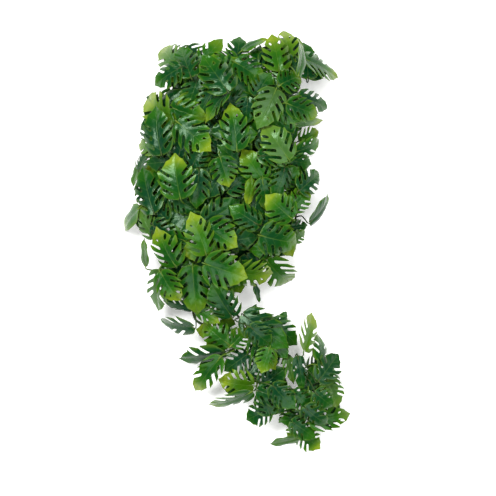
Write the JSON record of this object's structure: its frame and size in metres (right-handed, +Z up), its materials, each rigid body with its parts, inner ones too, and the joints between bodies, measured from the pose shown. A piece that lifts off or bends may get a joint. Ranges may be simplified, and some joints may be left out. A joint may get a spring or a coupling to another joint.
{
  "type": "trailing split-leaf philodendron",
  "caption": "Bushy trailing clump of glossy split-leaf philodendron, cut at a short crown and laid flat, with fingered heart-shaped leaves on slim green stems.",
  "frame": {"origin": "under the middle of the plant's bounding box, on the surface it lies on", "axes": "+Z up from the surface, +Y along the plant towards the cut end of its crown, +X to the right when seen from above with the crown at the top"},
  "size_m": [0.4616, 0.8492, 0.157],
  "materials": {
    "crown": "dull, fibrous",
    "foliage_dark": "waxy gloss",
    "foliage_green": "waxy gloss",
    "foliage_olive": "waxy gloss"
  },
  "bodies": {
    "root": {"crown": "crown", "stem_top_right": "foliage_olive", "stem_top": "foliage_dark", "stem_top_left": "foliage_dark", "stem_left_upper": "foliage_olive", "stem_left_middle": "foliage_dark", "stem_left_lower": "foliage_green", "stem_centre_left": "foliage_green", "stem_centre": "foliage_olive", "stem_centre_right": "foliage_green", "stem_right_upper": "foliage_dark", "stem_right_lower": "foliage_green", "stem_trail_left": "foliage_dark", "stem_trail_right": "foliage_green"}
  },
  "joints": []
}
